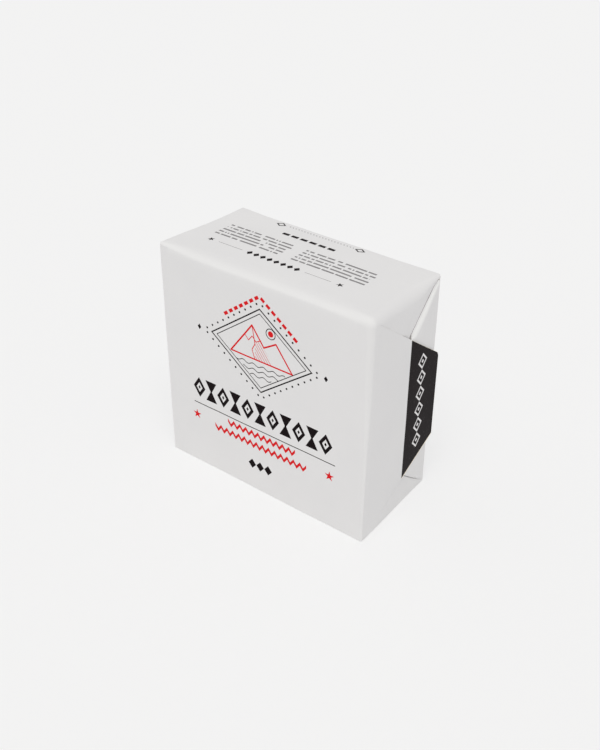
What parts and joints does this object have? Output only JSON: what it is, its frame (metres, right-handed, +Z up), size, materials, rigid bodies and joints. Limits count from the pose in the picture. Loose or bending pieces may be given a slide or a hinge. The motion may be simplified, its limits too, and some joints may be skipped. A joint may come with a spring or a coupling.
{
  "type": "gymnastics chalk block",
  "caption": "Pressed block of gym chalk in a printed paper wrapper with envelope-folded ends whose closing flaps turn on upright creases.",
  "frame": {"origin": "middle of the flat face that the block stands on, halfway across the printed front and halfway through the sleeve's depth", "axes": "+Z up from the surface that the block stands on, +X across the printed front to the folded end seen in the picture, -Y out of the printed front"},
  "size_m": [0.06, 0.0297, 0.0585],
  "materials": {
    "chalk": "matte",
    "wrapper_paper": "satin",
    "paste": "satin"
  },
  "bodies": {
    "wrapper": {"chalk_block": "chalk", "wrapper_sleeve": "wrapper_paper", "seam_glue": "paste", "right_top_tuck": "wrapper_paper", "right_bottom_tuck": "wrapper_paper", "right_back_gussets": "wrapper_paper", "right_back_flap": "wrapper_paper", "left_top_tuck": "wrapper_paper", "left_bottom_tuck": "wrapper_paper", "left_back_gussets": "wrapper_paper", "left_back_flap": "wrapper_paper"},
    "right_flap": {"right_closing_flap": "wrapper_paper", "right_closing_gussets": "wrapper_paper", "right_closing_glue": "paste"},
    "left_flap": {"left_closing_flap": "wrapper_paper", "left_closing_gussets": "wrapper_paper", "left_closing_glue": "paste"}
  },
  "joints": [
    {"name": "right_flap_fold", "type": "hinge", "parent": "wrapper", "child": "right_flap", "pos_m": [0.02995, -0.01427, 0.02927], "axis": [0, 0, -1], "range_deg": [0, 170]},
    {"name": "left_flap_fold", "type": "hinge", "parent": "wrapper", "child": "left_flap", "pos_m": [-0.02995, -0.01427, 0.02927], "axis": [0, 0, 1], "range_deg": [0, 170]}
  ]
}
